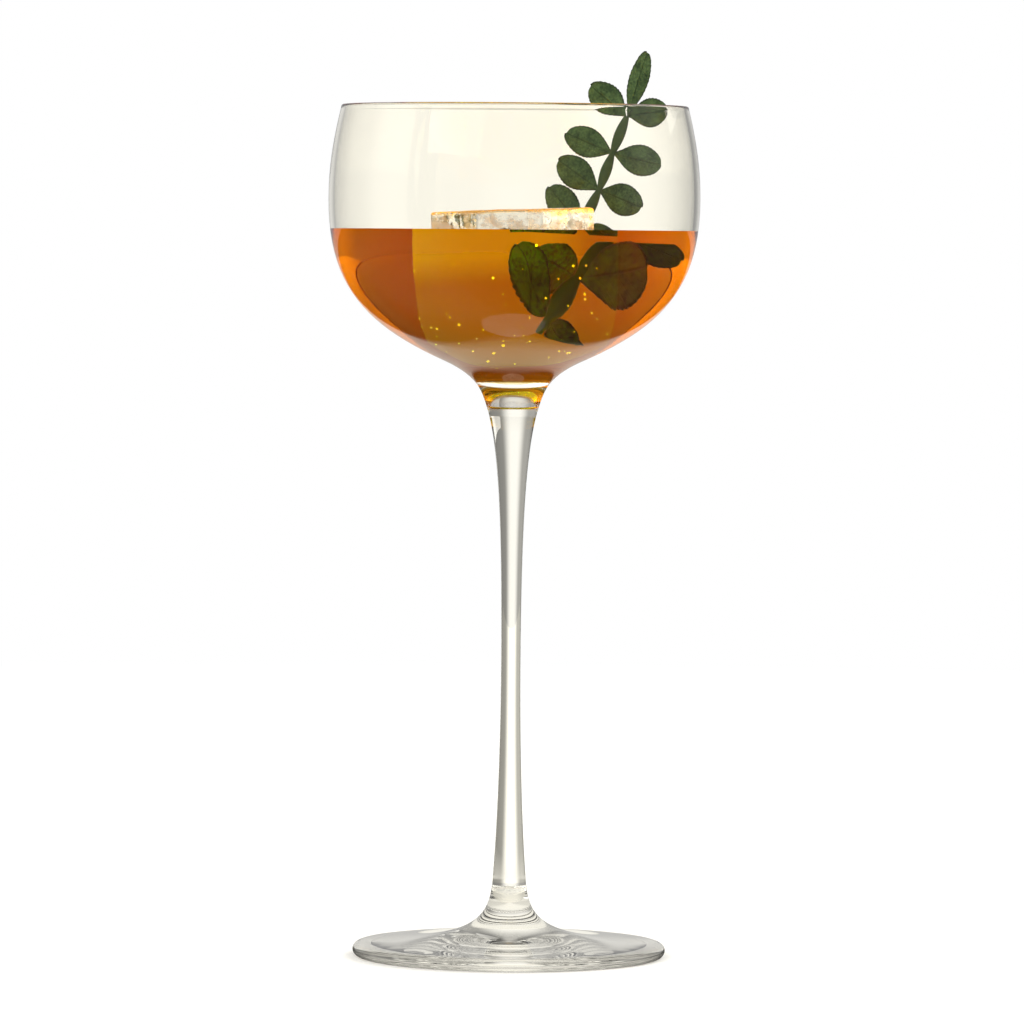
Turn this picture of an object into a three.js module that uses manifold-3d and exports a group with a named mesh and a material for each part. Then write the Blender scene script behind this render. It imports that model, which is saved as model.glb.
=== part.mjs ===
// A long-stemmed coupe glass, served: a blown bowl, a drawn stem and a foot, fused in line,
// with a drink, a cube of ice and a leafy sprig in the bowl.
// Millimetres, +Z up, origin on the table under the middle of the foot, +Y away from the viewer.

import * as THREE from 'three';
import { RoundedBoxGeometry } from 'three/addons/geometries/RoundedBoxGeometry.js';
import { mergeVertices } from 'three/addons/utils/BufferGeometryUtils.js';
import Module from 'manifold-3d';

const wasm = await Module();
wasm.setup();

// Foot
const FOOT_DIAMETER = 76.2;
const FOOT_EDGE = 3.2;
const FOOT_RING_WIDTH = 3;
const FOOT_DISH_DEPTH = 1.4;
const FOOT_DISH_FLAT = 0.5;
const FOOT_DISH_RISE = 0.25;
const FOOT_TOP_SLOPE = 3;
const FOOT_TOP_REACH = 25.5;
const COLLAR_HEIGHT = 17.4;
const COLLAR_DIAMETER = 8.4;
const COLLAR_LEAN = 5.7;
const COLLAR_FLARE = 10;

// Stem
const STEM_LENGTH = 115.9;
const STEM_WAIST_DIAMETER = 4.7;
const STEM_WAIST_HEIGHT = 54.5;
const STEM_TOP_DIAMETER = 12.4;
const STEM_TOP_LEAN = 17;
const STEM_TOP_TAPER = 9;
const STEM_UPPER_SWEEP = 36;
const STEM_LOWER_SWEEP = 25;
const STEM_LOWER_TAPER = 8;
const STEM_END_DOME = 2.7;

// Bowl
const BOSS_HEIGHT = 6.9;
const BOSS_FLARE = 5;
const BOWL_DEPTH = 66.7;
const BOWL_DIAMETER = 90.2;
const BELLY_HEIGHT = 43.8;
const BELLY_RISE = 8;
const BELLY_DROP = 21.5;
const BELLY_WALL = 1.4;
const RIM_DIAMETER = 84.3;
const RIM_LEAN = 13.5;
const RIM_REACH = 8;
const RIM_WALL = 1.2;
const UNDERSIDE_DIAMETER = 34;
const UNDERSIDE_HEIGHT = 4.8;
const UNDERSIDE_SLOPE = 24;
const UNDERSIDE_REACH = 20;
const UNDERSIDE_TUCK = 9;
const UNDERSIDE_WALL = 2;
const FLOOR_FLAT = 7;

// Drink and ice
const DRINK_DEPTH = 36.7;
const ICE_SIDE = 29.5;
const ICE_EDGE_RADIUS = 1.2;
const ICE_EDGE_STEPS = 3;
const ICE_FORWARD = 6;
const ICE_TURN = 54.4;
const ICE_TILT = 2;

// Sprig
const LOWEST_PAIR_HEIGHT = 27.4;
const NODE_SPACING = 10;
const STALK_END = 2.5;
const RACHIS_WING = 2.7;
const RACHIS_NODE = 1.2;
const RACHIS_THICKNESS = 1;
const LEAFLET_LENGTH = 11;
const LEAFLET_WIDTH = 7.6;
const LEAFLET_THICKNESS = 0.6;
const LEAFLET_EDGE_SHARE = 0.6;
const LEAFLET_BOW = 0.7;
const LEAFLET_FOLD = 0.12;
const LEAFLET_BLUNT = 0.5;
const LEAFLET_TIPWARD = 1.3;
const LEAFLET_BASE_TAPER = 0.85;
const LEAFLET_TIP_ROUNDING = 0.42;
const LEAFLET_TEETH = 6;
const LEAFLET_NOTCH = 0.06;

// Clearances
const DRINK_GAP = 0.3;
const SEAT_GAP = 0.3;
const SPRIG_GAP = 1.2;

// Fineness of the round forms
const GLASS_SEGMENTS = 48;
const CURVE_STEPS = 6;
const WING_STEPS = [0, 0.2, 0.5, 0.8];
const MERGE_DISTANCE = 1e-4;

// Stalk from the top node down: length of each stretch in node spacings, and its lean to the left
const INTERNODES = [
  { share: 1.01, lean: 20.4 },
  { share: 0.91, lean: 20.3 },
  { share: 0.96, lean: 26.8 },
  { share: 0.82, lean: 41.6 },
  { share: 0.58, lean: 42.9 },
];

// Leaflets by node: angle from upright, positive to the right, share of the usual length and width,
// and how far the tip turns back
const LEAFLETS = [
  { name: 'leaflet_end', node: 0, angle: 16.3, long: 1.39, wide: 0.65, back: 0 },
  { name: 'leaflet_left_1', node: 0, angle: -50, long: 0.97, wide: 1, back: 6 },
  { name: 'leaflet_right_1', node: 0, angle: 81, long: 0.81, wide: 1, back: 0 },
  { name: 'leaflet_left_2', node: 1, angle: -66, long: 1.04, wide: 1, back: 10 },
  { name: 'leaflet_right_2', node: 1, angle: 102, long: 1.03, wide: 1, back: 4 },
  { name: 'leaflet_left_3', node: 2, angle: -56, long: 1, wide: 1, back: 2 },
  { name: 'leaflet_right_3', node: 2, angle: 111, long: 0.93, wide: 1, back: 8 },
  { name: 'leaflet_left_4', node: 3, angle: -41, long: 1.02, wide: 1, back: 12 },
  { name: 'leaflet_right_4', node: 3, angle: 110, long: 0.78, wide: 0.6, back: 16 },
  { name: 'leaflet_left_5', node: 4, angle: -59, long: 0.73, wide: 0.9, back: 35 },
  { name: 'leaflet_right_5', node: 4, angle: 86, long: 1.1, wide: 1.2, back: -30 },
  { name: 'leaflet_left_6', node: 5, angle: -40, long: 0.94, wide: 1.12, back: 2 },
  { name: 'leaflet_right_6', node: 5, angle: 140, long: 0.5, wide: 0.7, back: 35 },
];

// Heights of the joints and surfaces
const seamLow = COLLAR_HEIGHT;
const seamHigh = seamLow + STEM_LENGTH;
const floorHeight = seamHigh + BOSS_HEIGHT;
const bellyHeight = floorHeight + BELLY_HEIGHT;
const rimHeight = floorHeight + BOWL_DEPTH;
const drinkHeight = floorHeight + DRINK_DEPTH;
const rimInnerRadius = RIM_DIAMETER / 2 - RIM_WALL;

const radians = THREE.MathUtils.degToRad;
const point = (radius, height) => new THREE.Vector2(radius, height);

// A point at some distance from another, in a direction measured from the horizontal.
function along(start, distance, degrees) {
  const angle = radians(degrees);
  return point(start.x + distance * Math.cos(angle), start.y + distance * Math.sin(angle));
}

function sweep(start, startHandle, endHandle, end) {
  return new THREE.CubicBezierCurve(start, startHandle, endHandle, end).getPoints(CURVE_STEPS);
}

function arc(centre, radius, fromDegrees, toDegrees, steps) {
  const turn = new THREE.EllipseCurve(
    centre.x, centre.y, radius, radius, radians(fromDegrees), radians(toDegrees), toDegrees < fromDegrees);
  return turn.getPoints(steps);
}

// Spherical cap from its apex on the axis out to its rim; rise is negative for a cap that hangs down.
function cap(rimRadius, edgeHeight, rise) {
  const depth = Math.abs(rise);
  const radius = (rimRadius ** 2 + depth ** 2) / (2 * depth);
  const apexHeight = edgeHeight + rise;
  const points = [];
  for (let step = 0; step <= CURVE_STEPS - 2; step += 1) {
    const x = (rimRadius * step) / (CURVE_STEPS - 2);
    const sag = radius - Math.sqrt(radius ** 2 - x ** 2);
    points.push(point(x, apexHeight - Math.sign(rise) * sag));
  }
  return points;
}

// Joins stretches of an outline, leaving out points that repeat.
function outline(...stretches) {
  const points = stretches.flat();
  return points.filter((p, i) => i === 0 || p.distanceTo(points[i - 1]) > 1e-6);
}

// Revolves an outline that runs from the axis, round the outside, back to the axis.
function revolve(points, segments) {
  const geometry = new THREE.LatheGeometry(points, segments);
  geometry.rotateX(Math.PI / 2);
  return geometry;
}

// Skin over a row of closed rings, with flat ends.
function loft(rings) {
  const around = rings[0].length;
  const positions = rings.flat().flatMap((p) => [p.x, p.y, p.z]);
  const index = [];
  for (let ring = 0; ring < rings.length - 1; ring += 1) {
    for (let side = 0; side < around; side += 1) {
      const next = (side + 1) % around;
      const a = ring * around + side;
      const b = ring * around + next;
      index.push(a, b, b + around, a, b + around, a + around);
    }
  }
  const last = (rings.length - 1) * around;
  for (let side = 1; side < around - 1; side += 1) {
    index.push(0, side + 1, side, last, last + side, last + side + 1);
  }
  const geometry = new THREE.BufferGeometry();
  geometry.setAttribute('position', new THREE.Float32BufferAttribute(positions, 3));
  geometry.setIndex(index);
  return geometry;
}

// The joint surfaces: the stem's domed ends, which the foot and the bowl close over.
const lowerSeat = cap(COLLAR_DIAMETER / 2, seamLow, -STEM_END_DOME);
const upperSeat = cap(STEM_TOP_DIAMETER / 2, seamHigh, STEM_END_DOME);
const collar = point(COLLAR_DIAMETER / 2, seamLow);
const stemTop = point(STEM_TOP_DIAMETER / 2, seamHigh);

// Foot: a flat resting ring round a shallow dish, a rounded edge, and a top that sweeps up to the collar.
function footGeometry() {
  const edgeRadius = FOOT_EDGE / 2;
  const edgeCentre = point(FOOT_DIAMETER / 2 - edgeRadius, edgeRadius);
  const ringInside = point(edgeCentre.x - FOOT_RING_WIDTH, 0);
  const dishTop = point(0, FOOT_DISH_DEPTH);
  const dish = sweep(
    dishTop,
    along(dishTop, ringInside.x * FOOT_DISH_FLAT, 0),
    along(ringInside, ringInside.x * FOOT_DISH_RISE, 180),
    ringInside);
  const edge = arc(edgeCentre, edgeRadius, -90, 90 - FOOT_TOP_SLOPE, CURVE_STEPS - 1);
  const edgeTop = edge[edge.length - 1];
  const top = sweep(
    edgeTop,
    along(edgeTop, FOOT_TOP_REACH, 180 - FOOT_TOP_SLOPE),
    along(collar, COLLAR_FLARE, COLLAR_LEAN - 90),
    collar);
  return revolve(outline(dish, edge, top, lowerSeat.toReversed()), GLASS_SEGMENTS);
}

// Stem: solid, drawn thin in the middle, domed at both ends.
function stemGeometry() {
  const waist = point(STEM_WAIST_DIAMETER / 2, seamLow + STEM_WAIST_HEIGHT);
  const lower = sweep(
    collar,
    along(collar, STEM_LOWER_TAPER, 90 + COLLAR_LEAN),
    along(waist, STEM_LOWER_SWEEP, -90),
    waist);
  const upper = sweep(
    waist,
    along(waist, STEM_UPPER_SWEEP, 90),
    along(stemTop, STEM_TOP_TAPER, -90 - STEM_TOP_LEAN),
    stemTop);
  return revolve(outline(lowerSeat, lower, upper, upperSeat.toReversed()), GLASS_SEGMENTS);
}

// The bowl's curve from under the belly up to the lip, the same outside and inside.
function bowlSide(under, belly, rim) {
  const lower = sweep(
    under,
    along(under, UNDERSIDE_REACH, UNDERSIDE_SLOPE),
    along(belly, BELLY_DROP, -90),
    belly);
  const upper = sweep(
    belly,
    along(belly, BELLY_RISE, 90),
    along(rim, RIM_REACH, RIM_LEAN - 90),
    rim);
  return outline(lower, upper);
}

const underside = point(UNDERSIDE_DIAMETER / 2, floorHeight + UNDERSIDE_HEIGHT);

// Inside of the bowl from the middle of the floor to the lip, drawn in by a gap.
function bowlInside(gap) {
  const floor = point(0, floorHeight + gap);
  const under = along(underside, UNDERSIDE_WALL, 90 + UNDERSIDE_SLOPE).add(point(-gap, gap));
  const belly = point(BOWL_DIAMETER / 2 - BELLY_WALL - gap, bellyHeight);
  const rim = point(rimInnerRadius - gap, rimHeight - RIM_WALL / 2);
  const bottom = sweep(
    floor,
    along(floor, FLOOR_FLAT, 0),
    along(under, UNDERSIDE_TUCK, UNDERSIDE_SLOPE - 180),
    under);
  return outline(bottom, bowlSide(under, belly, rim));
}

// Bowl: a thin wall with a rounded lip, thickening into the boss over the stem's top.
function bowlGeometry() {
  const belly = point(BOWL_DIAMETER / 2, bellyHeight);
  const lipCentre = point(RIM_DIAMETER / 2 - RIM_WALL / 2, rimHeight - RIM_WALL / 2);
  const lip = arc(lipCentre, RIM_WALL / 2, 0, 180, CURVE_STEPS - 1);
  const boss = sweep(
    stemTop,
    along(stemTop, BOSS_FLARE, 90 - STEM_TOP_LEAN),
    along(underside, UNDERSIDE_TUCK, UNDERSIDE_SLOPE - 180),
    underside);
  const side = bowlSide(underside, belly, lip[0]);
  return revolve(outline(upperSeat, boss, side, lip, bowlInside(0).toReversed()), GLASS_SEGMENTS);
}

// Radius of the bowl's inside at a height, read off its outline.
function insideRadius(height) {
  const points = bowlInside(0);
  const above = points.findIndex((p) => p.y >= height);
  if (above < 1) {
    return 0;
  }
  const low = points[above - 1];
  const high = points[above];
  return THREE.MathUtils.mapLinear(height, low.y, high.y, low.x, high.x);
}

// Height of the bowl's inside at a radius.
function insideHeight(radius) {
  const points = bowlInside(0);
  const beyond = points.findIndex((p) => p.x >= radius);
  const low = points[beyond - 1];
  const high = points[beyond];
  return THREE.MathUtils.mapLinear(radius, low.x, high.x, low.y, high.y);
}

// Ice: a cube with melted edges; margin grows it all round.
function iceGeometry(margin) {
  const side = ICE_SIDE + 2 * margin;
  return new RoundedBoxGeometry(side, side, side, ICE_EDGE_STEPS, ICE_EDGE_RADIUS + margin);
}

// Leaflet along +Z, faces to -Y and +Y: widest past the middle, scalloped, bowed and folded at the midrib.
function leafletGeometry(length, width, margin) {
  const steps = LEAFLET_TEETH * 2;
  const thickness = LEAFLET_THICKNESS / 2 + margin;
  const rings = [];
  for (let step = 0; step <= steps; step += 1) {
    const t = step / steps;
    const notch = step % 2 === 0 ? 1 - LEAFLET_NOTCH : 1;
    const taper = LEAFLET_BASE_TAPER - LEAFLET_TIP_ROUNDING * t;
    const swell = Math.abs(Math.sin(Math.PI * t ** LEAFLET_TIPWARD)) ** taper;
    const half = Math.max(LEAFLET_BLUNT / 2, (width / 2) * swell * notch) + margin;
    const z = THREE.MathUtils.lerp(-margin, length + margin, t);
    const bow = LEAFLET_BOW * 4 * t * (1 - t);
    const edge = bow + half * LEAFLET_FOLD;
    const thin = thickness * LEAFLET_EDGE_SHARE;
    rings.push([
      new THREE.Vector3(half, edge - thin, z),
      new THREE.Vector3(half, edge + thin, z),
      new THREE.Vector3(0, bow + thickness, z),
      new THREE.Vector3(-half, edge + thin, z),
      new THREE.Vector3(-half, edge - thin, z),
      new THREE.Vector3(0, bow - thickness, z),
    ]);
  }
  return loft(rings);
}

// Nodes of the stalk in its own upright plane, from the top node down.
const nodes = [new THREE.Vector3()];
INTERNODES.forEach(({ share, lean }, i) => {
  nodes.push(nodes[i].clone().addScaledVector(downwards(lean), share * NODE_SPACING));
});
const lowestNode = nodes[nodes.length - 1];

function downwards(lean) {
  return new THREE.Vector3(-Math.sin(radians(lean)), 0, -Math.cos(radians(lean)));
}

// Stalk: a leafy wing between each two nodes, then a plain cut end.
function rachisGeometry(margin) {
  const last = INTERNODES[INTERNODES.length - 1];
  const foot = lowestNode.clone().addScaledVector(downwards(last.lean), STALK_END + margin);
  const stations = [];
  INTERNODES.forEach((internode, i) => {
    WING_STEPS.forEach((share) => {
      const swell = (RACHIS_WING - RACHIS_NODE) * Math.sin(Math.PI * share);
      stations.push({ place: nodes[i].clone().lerp(nodes[i + 1], share), width: RACHIS_NODE + swell });
    });
  });
  stations.push({ place: lowestNode, width: RACHIS_NODE }, { place: foot, width: RACHIS_NODE });
  stations[0].place.addScaledVector(downwards(INTERNODES[0].lean), -margin);
  const depth = RACHIS_THICKNESS / 2 + margin;
  const rings = stations.map(({ place, width }, i) => {
    const before = stations[Math.max(i - 1, 0)].place;
    const after = stations[Math.min(i + 1, stations.length - 1)].place;
    const run = after.clone().sub(before).normalize();
    const across = new THREE.Vector3(-run.z, 0, run.x).multiplyScalar(width / 2 + margin);
    const at = (share, y) => place.clone().addScaledVector(across, share).setY(y);
    return [at(1, 0), at(0.5, depth), at(-0.5, depth), at(-1, 0), at(-0.5, -depth), at(0.5, -depth)];
  });
  return loft(rings.reverse());
}

function solid(geometry) {
  const bare = geometry.clone();
  bare.deleteAttribute('normal');
  bare.deleteAttribute('uv');
  const merged = mergeVertices(bare, MERGE_DISTANCE);
  const corners = [];
  const index = merged.index.array;
  for (let i = 0; i < index.length; i += 3) {
    const [a, b, c] = [index[i], index[i + 1], index[i + 2]];
    if (a !== b && b !== c && c !== a) {
      corners.push(a, b, c);
    }
  }
  return new wasm.Manifold(new wasm.Mesh({
    numProp: 3,
    vertProperties: merged.attributes.position.array,
    triVerts: Uint32Array.from(corners),
  }));
}

function geometryOf(manifold) {
  const mesh = manifold.getMesh();
  const geometry = new THREE.BufferGeometry();
  geometry.setAttribute('position', new THREE.BufferAttribute(mesh.vertProperties, 3));
  geometry.setIndex(new THREE.BufferAttribute(mesh.triVerts, 1));
  return geometry;
}

function piece(name, geometry, material) {
  const mesh = new THREE.Mesh(geometry, new THREE.MeshStandardMaterial(material));
  mesh.name = name;
  return mesh;
}

const CLEAR_GLASS = { color: '#f4f2ea', roughness: 0.02, metalness: 0, transparent: true, opacity: 0.3 };
const AMBER_DRINK = { color: '#c87412', roughness: 0.03, metalness: 0, transparent: true, opacity: 0.7 };
const CLEAR_ICE = { color: '#eef0ea', roughness: 0.1, metalness: 0, transparent: true, opacity: 0.4 };
const LEAF_GREEN = { color: '#3f4f2c', roughness: 0.5, metalness: 0 };
const STALK_GREEN = { color: '#55603a', roughness: 0.55, metalness: 0 };

const glass = new THREE.Group();
glass.add(piece('foot', footGeometry(), CLEAR_GLASS));
glass.add(piece('stem', stemGeometry(), CLEAR_GLASS));
glass.add(piece('bowl', bowlGeometry(), CLEAR_GLASS));

// The ice rests on the bowl's side at its outermost lower corner, a little in front of the middle.
const ice = piece('ice_cube', iceGeometry(0), CLEAR_ICE);
ice.rotation.set(0, -radians(ICE_TILT), radians(ICE_TURN));
const iceReach = (ICE_SIDE / 2) * (Math.sin(radians(ICE_TURN)) + Math.cos(radians(ICE_TURN)));
const iceSeat = insideHeight(ICE_FORWARD + iceReach) + SEAT_GAP;
ice.position.set(0, -ICE_FORWARD, iceSeat + ICE_SIDE / 2);

// Sprig: stands in the drink behind the ice, moved to the right until its leaflets reach the rim.
const sprig = new THREE.Group();
const leaflets = LEAFLETS.map(({ name, node, angle, long, wide, back }) => {
  const length = long * LEAFLET_LENGTH;
  const width = wide * LEAFLET_WIDTH;
  const leaflet = piece(name, leafletGeometry(length, width, 0), LEAF_GREEN);
  leaflet.rotation.set(-radians(back), radians(angle), 0, 'YXZ');
  const clear = RACHIS_NODE / 2 + SEAT_GAP + LEAFLET_BLUNT / 2;
  leaflet.position.set(0, 0, clear).applyEuler(leaflet.rotation).add(nodes[node]);
  sprig.add(leaflet);
  return { leaflet, length, width };
});
const rachis = piece('sprig_stalk', rachisGeometry(0), STALK_GREEN);
sprig.add(rachis);

const sprigDepth = iceReach - ICE_FORWARD + SPRIG_GAP;
const roomAtRim = leaflets.map(({ leaflet, length }) => {
  const tip = new THREE.Vector3(0, 0, length).applyEuler(leaflet.rotation).add(leaflet.position);
  return Math.sqrt((rimInnerRadius - SEAT_GAP) ** 2 - (sprigDepth + tip.y) ** 2) - tip.x;
});
sprig.position.set(
  Math.min(...roomAtRim),
  sprigDepth,
  floorHeight + LOWEST_PAIR_HEIGHT - lowestNode.z);

// Drink: fills the bowl to its level, round the ice and the part of the sprig that stands in it.
function drinkGeometry() {
  const wall = bowlInside(DRINK_GAP).filter((p) => p.y < drinkHeight);
  const surface = point(insideRadius(drinkHeight) - DRINK_GAP, drinkHeight);
  const cuts = [
    [ice, iceGeometry(DRINK_GAP)],
    [rachis, rachisGeometry(DRINK_GAP)],
    ...leaflets.map(({ leaflet, length, width }) => [leaflet, leafletGeometry(length, width, DRINK_GAP)]),
  ];
  let body = solid(revolve(outline(wall, [surface, point(0, drinkHeight)]), GLASS_SEGMENTS));
  cuts.forEach(([neighbour, shape]) => {
    neighbour.updateWorldMatrix(true, false);
    body = body.subtract(solid(shape.applyMatrix4(neighbour.matrixWorld)));
  });
  return geometryOf(body);
}

const coupe = new THREE.Group();
coupe.add(glass, ice, sprig, piece('drink', drinkGeometry(), AMBER_DRINK));

export default coupe;
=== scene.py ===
import math

import bmesh
import bpy
from mathutils import Euler, Matrix, Vector, noise


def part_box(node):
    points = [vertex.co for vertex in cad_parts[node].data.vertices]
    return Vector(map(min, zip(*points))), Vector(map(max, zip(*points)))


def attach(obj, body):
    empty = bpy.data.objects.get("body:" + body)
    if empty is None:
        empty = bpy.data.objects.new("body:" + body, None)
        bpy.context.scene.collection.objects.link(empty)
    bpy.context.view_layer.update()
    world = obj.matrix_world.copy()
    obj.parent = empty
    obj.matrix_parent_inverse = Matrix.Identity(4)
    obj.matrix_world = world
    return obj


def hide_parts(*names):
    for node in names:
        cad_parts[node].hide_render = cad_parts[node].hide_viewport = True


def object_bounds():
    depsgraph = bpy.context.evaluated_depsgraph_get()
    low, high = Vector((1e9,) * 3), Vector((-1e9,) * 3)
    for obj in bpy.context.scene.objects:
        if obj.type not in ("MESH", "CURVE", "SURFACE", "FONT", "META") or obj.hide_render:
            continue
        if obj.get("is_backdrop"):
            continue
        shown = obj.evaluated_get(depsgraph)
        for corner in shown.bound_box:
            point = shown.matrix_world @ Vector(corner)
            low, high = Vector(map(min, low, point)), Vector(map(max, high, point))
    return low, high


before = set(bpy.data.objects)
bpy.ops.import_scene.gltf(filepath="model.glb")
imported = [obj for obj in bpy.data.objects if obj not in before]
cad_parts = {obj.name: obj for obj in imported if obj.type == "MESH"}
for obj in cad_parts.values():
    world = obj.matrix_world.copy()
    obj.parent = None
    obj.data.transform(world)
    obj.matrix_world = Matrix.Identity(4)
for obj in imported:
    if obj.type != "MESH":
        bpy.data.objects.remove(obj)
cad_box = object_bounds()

# Studio: a pale table and a white surround, with one large soft lamp behind to the right and a
# weaker one in front to the left. The camera looks along +Y from the level of the drink, as the
# photograph does, through a long lens.
CAMERA_DISTANCE = 1.637
CAMERA_HEIGHT = 0.1768
CAMERA_AIM_HEIGHT = 0.1082
CAMERA_LENS = 237
CAMERA_ROLL = 0.45

scene = bpy.context.scene
scene.view_settings.view_transform = "Standard"
camera_data = bpy.data.cameras.new("camera")
camera_data.lens = CAMERA_LENS
camera_data.clip_end = 20
camera = bpy.data.objects.new("camera", camera_data)
scene.collection.objects.link(camera)
camera.location = (0, -CAMERA_DISTANCE, CAMERA_HEIGHT)
aim = Vector((0, 0, CAMERA_AIM_HEIGHT)) - camera.location
camera.rotation_mode = "QUATERNION"
turn = aim.to_track_quat("-Z", "Y")
camera.rotation_quaternion = turn @ Euler((0, 0, math.radians(CAMERA_ROLL))).to_quaternion()
scene.camera = camera

# Glass passes light many times before it leaves, so the light paths are long.
scene.cycles.max_bounces = 96
scene.cycles.transmission_bounces = 96
scene.cycles.glossy_bounces = 64
scene.cycles.transparent_max_bounces = 32


def linear(hex_colour):
    """An sRGB hex value as a linear colour."""
    parts = [int(hex_colour[i:i + 2], 16) / 255 for i in (1, 3, 5)]
    return [c / 12.92 if c <= 0.04045 else ((c + 0.055) / 1.055) ** 2.4 for c in parts] + [1]


def add(tree, kind, inputs=(), **settings):
    """Adds a node with its settings; an input given as a node or a socket is linked."""
    made = tree.nodes.new(kind)
    for key, value in settings.items():
        setattr(made, key, value)
    for key, value in inputs.items() if isinstance(inputs, dict) else enumerate(inputs):
        if isinstance(value, bpy.types.Node):
            value = value.outputs[0]
        if isinstance(value, bpy.types.NodeSocket):
            tree.links.new(value, made.inputs[key])
        else:
            made.inputs[key].default_value = value
    return made


def empty_material(name):
    """An empty material and its node tree."""
    made = bpy.data.materials.new(name)
    made.use_nodes = True
    made.node_tree.nodes.clear()
    return made, made.node_tree


# The surround is plain white to the camera. Seen through glass it is a dim room with a lit wall on
# each side, which gives the glass its dark edges; through the drink it is brighter on the right.
# Mirrored in glass it is dim in front. The levels are given with 1 as white.
LIT_WALL = 1.12
WALL_TURN = -4
DIM_LEFT = 0.45
DIM_RIGHT = 0.28
DIM_ABOVE = 0.5
WALL_THROUGH_DRINK = 0.86
EDGE_THROUGH_DRINK = 2.0
RIGHT_OF_DRINK = 1.5
LEFT_OF_DRINK = 0.95
LEVEL_THROUGH_ICE = 0.5
CALM_LEVEL = 0.95
MIRRORED_FRONT = 0.05
MIRRORED_BACK = 0.45
MIRRORED_INSIDE = 0.6
MIRRORED_INSIDE_BACK = 0.9
AMBIENT = 0.9
FACES_BEFORE_ICE = 5.5
WARM_ROOM = "#fffdf7"
WHITE = "#ffffff"


def lit_walls(tree, direction, through_drink, gain=1.0, calm=0.0):
    """How bright a direction is through glass: lit along the axes and dim on the diagonals.

    A gain lifts it, and calm, from 0 to 1, evens it out. Light that has passed the drink's skin, or
    enough faces to have passed the ice, finds another level.
    """
    turned_a_little = add(tree, "ShaderNodeVectorRotate", {
        "Vector": direction, "Angle": math.radians(WALL_TURN)}, rotation_type="Z_AXIS")
    unit = add(tree, "ShaderNodeVectorMath", [turned_a_little], operation="NORMALIZE")
    axes = add(tree, "ShaderNodeSeparateXYZ", [unit]).outputs
    x = add(tree, "ShaderNodeMath", [axes["X"]], operation="ABSOLUTE")
    y = add(tree, "ShaderNodeMath", [axes["Y"]], operation="ABSOLUTE")
    most = add(tree, "ShaderNodeMath", [x, y], operation="MAXIMUM")
    least = add(tree, "ShaderNodeMath", [x, y], operation="MINIMUM")
    slant = add(tree, "ShaderNodeMath", [least, most], operation="DIVIDE")
    dim = add(tree, "ShaderNodeMapRange", {
        "Value": axes["X"], "From Min": -0.6, "From Max": 0.6, "To Min": DIM_LEFT, "To Max": DIM_RIGHT})
    room = add(tree, "ShaderNodeMapRange", {
        "Value": slant, "From Min": 0.06, "From Max": 0.55, "To Min": LIT_WALL, "To Max": dim},
        interpolation_type="SMOOTHERSTEP")
    path = add(tree, "ShaderNodeLightPath").outputs
    behind = add(tree, "ShaderNodeMapRange", {
        "Value": axes["Y"], "From Min": 0.35, "From Max": 0.8,
        "To Min": MIRRORED_INSIDE, "To Max": MIRRORED_INSIDE_BACK})
    inner = add(tree, "ShaderNodeMapRange", {
        "Value": path["Glossy Depth"], "To Min": 1.0, "To Max": behind})
    dimmed = add(tree, "ShaderNodeMath", [room, inner], operation="MULTIPLY")
    lifted = add(tree, "ShaderNodeMath", [dimmed, gain], operation="MULTIPLY")
    level = add(tree, "ShaderNodeMix", {0: calm, 2: lifted, 3: CALM_LEVEL})
    skins = add(tree, "ShaderNodeMath", [path["Transparent Depth"], 0.5], operation="GREATER_THAN")
    faces = add(tree, "ShaderNodeMath", [path["Transmission Depth"], FACES_BEFORE_ICE],
                operation="GREATER_THAN")
    partly = add(tree, "ShaderNodeMath", [faces, LEVEL_THROUGH_ICE], operation="MULTIPLY")
    deep = add(tree, "ShaderNodeMath", [skins, partly], operation="MAXIMUM")
    edge = add(tree, "ShaderNodeMapRange", {
        "Value": x, "From Min": 0.66, "From Max": 0.82,
        "To Min": through_drink, "To Max": through_drink * EDGE_THROUGH_DRINK})
    right = add(tree, "ShaderNodeMapRange", {
        "Value": axes["X"], "From Min": -0.45, "From Max": -0.05,
        "To Min": RIGHT_OF_DRINK, "To Max": LEFT_OF_DRINK})
    amber_lit = add(tree, "ShaderNodeMath", [edge, right], operation="MULTIPLY")
    return add(tree, "ShaderNodeMix", {0: deep, 2: level, 3: amber_lit})


world = bpy.data.worlds.new("studio")
world.use_nodes = True
tree = world.node_tree
tree.nodes.clear()
path = add(tree, "ShaderNodeLightPath").outputs
direction = add(tree, "ShaderNodeTexCoord").outputs["Generated"]
axes = add(tree, "ShaderNodeSeparateXYZ", [direction]).outputs
above = add(tree, "ShaderNodeMapRange", {
    "Value": axes["Z"], "From Min": 0.15, "From Max": 0.7, "To Min": 1.0, "To Max": DIM_ABOVE})
walls = lit_walls(tree, direction, WALL_THROUGH_DRINK)
through = add(tree, "ShaderNodeMath", [walls, above], operation="MULTIPLY")
mirror = add(tree, "ShaderNodeMapRange", {
    "Value": axes["Y"], "From Min": 0.4, "From Max": 0.95,
    "To Min": MIRRORED_FRONT, "To Max": MIRRORED_BACK})
in_glass = add(tree, "ShaderNodeMix", {0: path["Is Transmission Ray"], 2: mirror, 3: through})
on_matt = add(tree, "ShaderNodeMath", [path["Diffuse Depth"], 0.5], operation="GREATER_THAN")
lit = add(tree, "ShaderNodeMix", {0: on_matt, 2: in_glass, 3: AMBIENT})
strength = add(tree, "ShaderNodeMix", {0: path["Is Camera Ray"], 2: lit, 3: 1.0})
tint = add(tree, "ShaderNodeMix", {
    0: path["Is Transmission Ray"], 6: linear(WHITE), 7: linear(WARM_ROOM)}, data_type="RGBA")
background = add(tree, "ShaderNodeBackground", {"Color": tint.outputs[2], "Strength": strength})
add(tree, "ShaderNodeOutputWorld", {"Surface": background})
scene.world = world

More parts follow.
